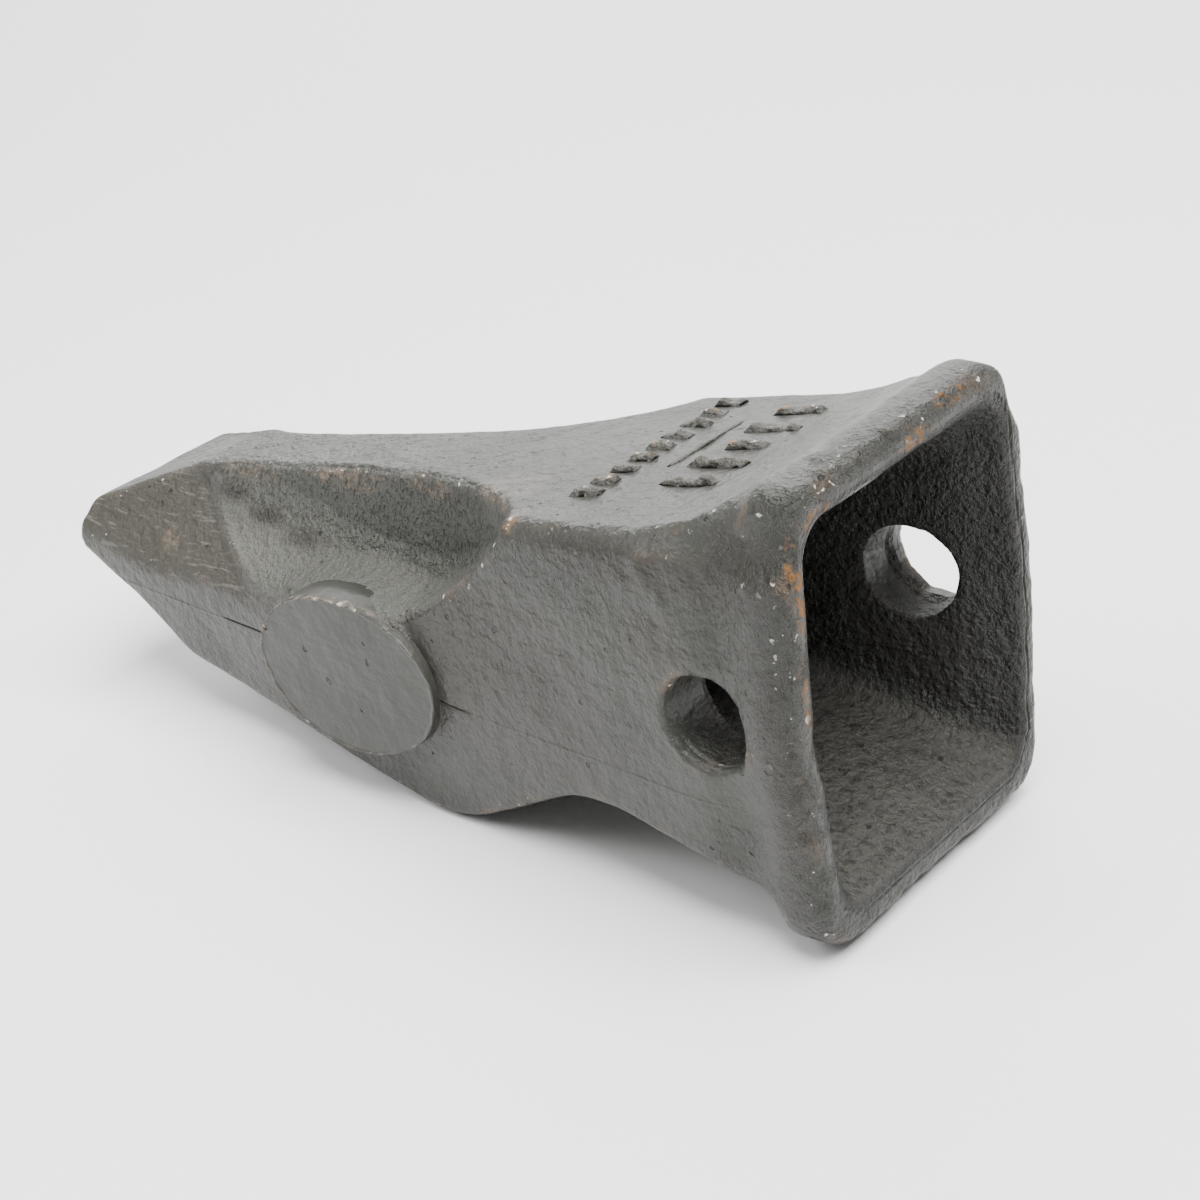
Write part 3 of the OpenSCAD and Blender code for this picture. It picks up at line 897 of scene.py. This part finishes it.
class TOOTH_OT_stub(Operator):
    """Build the feeder stub, an oval pad whose face was ground flat"""
    bl_idname = "tooth.stub"
    bl_label = "Build feeder stub"

    def execute(self, context):
        sizes = context.scene.tooth_sizes
        a, b = sizes.stub_length / MM / 2, sizes.stub_height / MM / 2
        face = sizes.stub_face / MM
        turns = 160
        angle = np.linspace(0, 2 * math.pi, turns, endpoint=False)
        wobble = 1 + 0.008 * np.sin(3 * angle + 1) + 0.005 * np.sin(7 * angle)
        # rings from the middle of the face out over the burr and down the side
        rings = [(t, face) for t in np.linspace(0.03, 0.95, 22)]
        rings += [(0.965, face), (0.978, face + 0.10), (0.99, face + 0.22), (0.998, face + 0.12),
                  (1.0, face - 0.2), (1.0, face - 1.0), (1.005, face - 2.5), (1.01, face - 5),
                  (1.01, face - 10)]
        points, lip = [], []
        for k, (t, depth) in enumerate(rings):
            u, v = a * t * np.cos(angle) * wobble, b * t * np.sin(angle) * wobble
            ragged = 0.12 * np.sin(23 * angle + k) * (t > 0.97)
            points.append(np.stack([u, -depth + ragged, v], 1))
            burr = (0.12 + 0.88 * smooth_step(np.cos(angle - 1.85), 0.3, 0.75)
                    + 0.4 * smooth_step(np.cos(angle - 3.7), 0.2, 0.6))
            lip.append(burr * (bump(t - 0.99, 0.02) if depth > face - 1.5 else 0.0))
        points, lip = np.concatenate(points), np.concatenate(lip)
        grid = np.arange(len(rings) * turns).reshape(len(rings), turns)
        ahead = np.roll(grid, -1, 1)
        quads = np.stack([grid[:-1], grid[1:], ahead[1:], ahead[:-1]], -1).reshape(-1, 4)
        # close both ends with triangles written as quads with a middle point
        middle = np.array([[0, -face, 0], [0, -face + 10, 0]])
        first, last = len(points), len(points) + 1
        points, lip = np.concatenate([points, middle]), np.concatenate([lip, [0, 0]])
        ends = []
        for ring, centre, way in ((grid[0], first, 1), (grid[-1], last, -1)):
            for i in range(0, turns, 2):
                three = ring[[i, (i + 1) % turns, (i + 2) % turns]]
                ends.append((centre, *three[::way]))
        quads = np.concatenate([quads, np.array(ends)])
        x, y, z = points.T
        relief = 0.10 * lattice_noise(points, 12, 21)
        c, s = math.cos(STUB_TILT), math.sin(STUB_TILT)
        points = np.stack([STUB_X + x * c - z * s, y - relief, STUB_Z + x * s + z * c], 1)
        material = ground_paint(context.scene.tooth_finish)
        stub = mesh_object("feeder_stub_face", points, quads, material, {"lip": lip})
        hand_over(stub, "feeder_stub")
        return {"FINISHED"}


def back_height(x, y):
    """Height of the tooth's back above a place in plan, in millimetres."""
    low, high = np.full(len(x), 5.0), np.full(len(x), 58.0)
    for _ in range(24):
        middle = (low + high) / 2
        outside = casting_field(x, y, middle) > 0
        low, high = np.where(outside, low, middle), np.where(outside, middle, high)
    return low


def mark_tree(name):
    """Geometry nodes for one row of marks: lumpy raised bars across the back,
    with named inputs, of uneven lengths and leans. Each bar's own places are
    stored with it, so that it can be rounded afterwards."""
    tree = bpy.data.node_groups.new(name, "GeometryNodeTree")
    tree.is_modifier = True
    face = tree.interface
    face.new_socket("Geometry", in_out="OUTPUT", socket_type="NodeSocketGeometry")
    for label, kind, value in (
            ("Count", "NodeSocketInt", 9), ("Pitch", "NodeSocketFloat", 0.007),
            ("Row X", "NodeSocketFloat", -0.048), ("Row Y", "NodeSocketFloat", 0.006),
            ("Length", "NodeSocketFloat", 0.009), ("Width", "NodeSocketFloat", 0.0032),
            ("Rise", "NodeSocketFloat", 0.0013), ("Unevenness", "NodeSocketFloat", 0.35),
            ("Lean", "NodeSocketFloat", 0.3), ("Seed", "NodeSocketInt", 3),
            ("Material", "NodeSocketMaterial", None)):
        socket = face.new_socket(label, in_out="INPUT", socket_type=kind)
        if value is not None:
            socket.default_value = value
    inlet = add_node(tree, "NodeGroupInput")
    offset = add_node(tree, "ShaderNodeCombineXYZ", {"Y": inlet["Pitch"]})[0]
    half = add_node(tree, MATH, (inlet["Count"], 1.0), operation="SUBTRACT")[0]
    half = add_node(tree, MATH, (half, -0.5), operation="MULTIPLY")[0]
    start_y = add_node(tree, MATH, (half, inlet["Pitch"]), operation="MULTIPLY")[0]
    start_y = add_node(tree, MATH, (start_y, inlet["Row Y"]), operation="ADD")[0]
    start = add_node(tree, "ShaderNodeCombineXYZ", (inlet["Row X"], start_y))[0]
    row = add_node(tree, "GeometryNodeMeshLine",
                   {"Count": inlet["Count"], "Start Location": start, "Offset": offset})[0]
    bar = add_node(tree, "GeometryNodeMeshCube", ((1, 1, 1), 26, 10, 6))[0]
    uneven = add_node(tree, "FunctionNodeRandomValue", {"Seed": inlet["Seed"]}, data_type="FLOAT")[1]
    uneven = add_node(tree, MATH, (uneven, inlet["Unevenness"]), operation="MULTIPLY")[0]
    uneven = add_node(tree, MATH, (1.0, uneven), operation="SUBTRACT")[0]
    long = add_node(tree, MATH, (inlet["Length"], uneven), operation="MULTIPLY")[0]
    own_place = add_node(tree, "GeometryNodeInputPosition")[0]
    local = add_node(tree, "GeometryNodeStoreNamedAttribute",
                     {"Geometry": bar, "Value": own_place, "Name": "local"},
                     data_type="FLOAT_VECTOR", domain="POINT")[0]
    size = add_node(tree, "ShaderNodeCombineXYZ", (long, inlet["Width"], inlet["Rise"]))[0]
    low = add_node(tree, MATH, (inlet["Lean"], -1.0), operation="MULTIPLY")[0]
    turn = add_node(tree, "FunctionNodeRandomValue", {2: low, 3: inlet["Lean"], "Seed": inlet["Seed"]},
                    data_type="FLOAT")[1]
    turn = add_node(tree, "ShaderNodeCombineXYZ", {"Z": turn})[0]
    turn = add_node(tree, "FunctionNodeEulerToRotation", (turn,))[0]
    many = add_node(tree, "GeometryNodeInstanceOnPoints",
                    {"Points": row, "Instance": local, "Scale": size, "Rotation": turn})[0]
    real = add_node(tree, "GeometryNodeRealizeInstances", (many,))[0]
    painted = add_node(tree, "GeometryNodeSetMaterial", {0: real, "Material": inlet["Material"]})[0]
    add_node(tree, "NodeGroupOutput", (painted,))
    return tree


def mark_row(tree, material, values):
    """Runs the row's node tree and returns its plain mesh data."""
    host = bpy.data.objects.new("marks_host", bpy.data.meshes.new("marks_host"))
    bpy.context.scene.collection.objects.link(host)
    modifier = host.modifiers.new("marks", "NODES")
    modifier.node_group = tree
    sockets = {item.name: item.identifier for item in tree.interface.items_tree
               if item.item_type == "SOCKET" and item.in_out == "INPUT"}
    for label, value in dict(values, Material=material).items():
        modifier[sockets[label]] = value
    bpy.context.view_layer.update()
    mesh = bpy.data.meshes.new_from_object(host.evaluated_get(bpy.context.evaluated_depsgraph_get()))
    host.modifiers.remove(modifier)
    bpy.data.objects.remove(host)
    return mesh


class TOOTH_OT_marks(Operator):
    """Build the rows of plain raised marks on the tooth's back"""
    bl_idname = "tooth.marks"
    bl_label = "Build cast marks"

    def execute(self, context):
        sizes = context.scene.tooth_sizes
        material = mark_paint(context.scene.tooth_finish)
        tree = mark_tree("mark_rows")
        rise = sizes.mark_rise
        rows = (
            {"Count": sizes.small_marks, "Pitch": 0.0068, "Row X": -0.048, "Row Y": 0.005, "Length": 0.0105,
             "Width": 0.0036, "Rise": rise * 1.15, "Unevenness": 0.3, "Lean": 0.12, "Seed": 3},
            {"Count": 1, "Pitch": 0.01, "Row X": -0.0362, "Row Y": 0.008, "Length": 0.0016,
             "Width": 0.030, "Rise": rise * 0.6, "Unevenness": 0.0, "Lean": 0.0, "Seed": 1},
            {"Count": sizes.large_marks, "Pitch": 0.0105, "Row X": -0.0225, "Row Y": 0.006, "Length": 0.019,
             "Width": 0.0034, "Rise": rise * 1.3, "Unevenness": 0.35, "Lean": 0.06, "Seed": 8},
        )
        points, quads, local, tall = [], [], [], []
        for values in rows:
            mesh = mark_row(tree, material, values)
            p = np.empty(len(mesh.vertices) * 3)
            mesh.vertices.foreach_get("co", p)
            own = np.empty_like(p)
            mesh.attributes["local"].data.foreach_get("vector", own)
            q = np.array([f.vertices[:] for f in mesh.polygons])
            quads.append(q + sum(len(other) for other in points))
            points.append(p.reshape(-1, 3) / MM)
            local.append(own.reshape(-1, 3) * 2)
            tall.append(np.full(len(mesh.vertices), values["Rise"] / MM))
            bpy.data.meshes.remove(mesh)
        points, quads = np.concatenate(points), np.concatenate(quads)
        local, tall = np.concatenate(local), np.concatenate(tall)
        # set the bars on the back as rounded, lumpy ridges that taper at their ends
        x, y = points[:, 0], points[:, 1]
        along, across, up = local.T
        ground = back_height(x, y)
        ridge = np.sqrt(np.clip(1 - across ** 2, 0, 1)) * np.clip(1 - along ** 6, 0, 1)
        lumps = 1 + 0.55 * lattice_noise(points, 2.2, 31)
        height = np.where(up > 0, tall * ridge * lumps * (up + 1) / 2 - 0.15, -1.2)
        wander = 0.55 * np.stack([lattice_noise(points, 3.1, 32), lattice_noise(points, 3.1, 33)], 1)
        points = np.column_stack([x + wander[:, 0], y + wander[:, 1], ground + height])
        crest = np.clip(height / tall, 0, 1)
        marks = mesh_object("cast_marks_rows", points, quads, material, {"crest": crest})
        hand_over(marks, "cast_marks")
        return {"FINISHED"}


class TOOTH_OT_stage(Operator):
    """Set up the white floor, the soft lights and the camera"""
    bl_idname = "tooth.stage"
    bl_label = "Build stage"

    def execute(self, context):
        stage = context.scene.stage_settings
        scene = context.scene
        ground = min(CAD_BOX[0][2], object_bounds()[0][2])
        bpy.ops.mesh.primitive_plane_add(size=12, location=(0, 0, ground))
        floor = context.object
        floor.name = "floor"
        floor.data.materials.append(floor_paint())
        floor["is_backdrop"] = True

        world = bpy.data.worlds.new("studio")
        scene.world = world
        world.use_nodes = True
        backdrop = world.node_tree.nodes["Background"]
        backdrop.inputs[0].default_value = (1, 1, 1, 1)
        backdrop.inputs[1].default_value = stage.fill

        for name, place, size, share in (
                ("overhead", (0.42, -0.04, 1.42), 1.3, 1.0),
                ("back", (-1.0, 1.1, 0.75), 1.3, 0.33),
                ("side_fill", (-0.9, -0.8, 0.95), 0.7, 0.15)):
            data = bpy.data.lights.new(name, "AREA")
            data.size = size
            data.energy = stage.overhead * share
            lamp = bpy.data.objects.new(name, data)
            lamp.location = place
            lamp.rotation_euler = (Vector((-0.08, 0, 0)) - lamp.location).to_track_quat("-Z", "Y").to_euler()
            scene.collection.objects.link(lamp)

        # the camera's axes as rows, then its place in metres
        data = bpy.data.cameras.new("camera")
        data.sensor_width = 36
        data.lens = stage.lens
        data.clip_start = 0.01
        camera = bpy.data.objects.new("camera", data)
        right = Vector((0.75298, 0.64253, -0.14207))
        back = Vector((0.6268, -0.63456, 0.45217))
        matrix = Matrix((right, back.cross(right), back)).transposed().to_4x4()
        matrix.translation = (0.2959, -0.3716, 0.2567)
        camera.matrix_world = matrix
        scene.collection.objects.link(camera)
        scene.camera = camera
        return {"FINISHED"}


class TOOTH_PT_panel(Panel):
    """Lists the steps that build the tooth, and their settings"""
    bl_idname = "TOOTH_PT_panel"
    bl_label = "Bucket tooth"
    bl_space_type = "VIEW_3D"
    bl_region_type = "UI"
    bl_category = "Tooth"

    def draw(self, context):
        for step in STEPS:
            self.layout.operator(step.bl_idname)
        for group in (context.scene.tooth_sizes, context.scene.tooth_finish, context.scene.stage_settings):
            box = self.layout.box()
            for key in group.__annotations__:
                box.prop(group, key)


STEPS = (TOOTH_OT_casting, TOOTH_OT_stub, TOOTH_OT_marks, TOOTH_OT_stage)
SETTINGS = {"tooth_finish": ToothFinish, "tooth_sizes": ToothSizes, "stage_settings": StageSettings}


def register():
    for group in SETTINGS.values():
        bpy.utils.register_class(group)
    for key, group in SETTINGS.items():
        setattr(bpy.types.Scene, key, PointerProperty(type=group))
    for step in STEPS:
        bpy.utils.register_class(step)
    bpy.utils.register_class(TOOTH_PT_panel)


def unregister():
    bpy.utils.unregister_class(TOOTH_PT_panel)
    for step in reversed(STEPS):
        bpy.utils.unregister_class(step)
    for key, group in SETTINGS.items():
        delattr(bpy.types.Scene, key)
        bpy.utils.unregister_class(group)


def main():
    """Builds everything in order."""
    register()
    bpy.ops.tooth.casting()
    bpy.ops.tooth.stub()
    bpy.ops.tooth.marks()
    bpy.ops.tooth.stage()


if __name__ == "__main__":
    main()
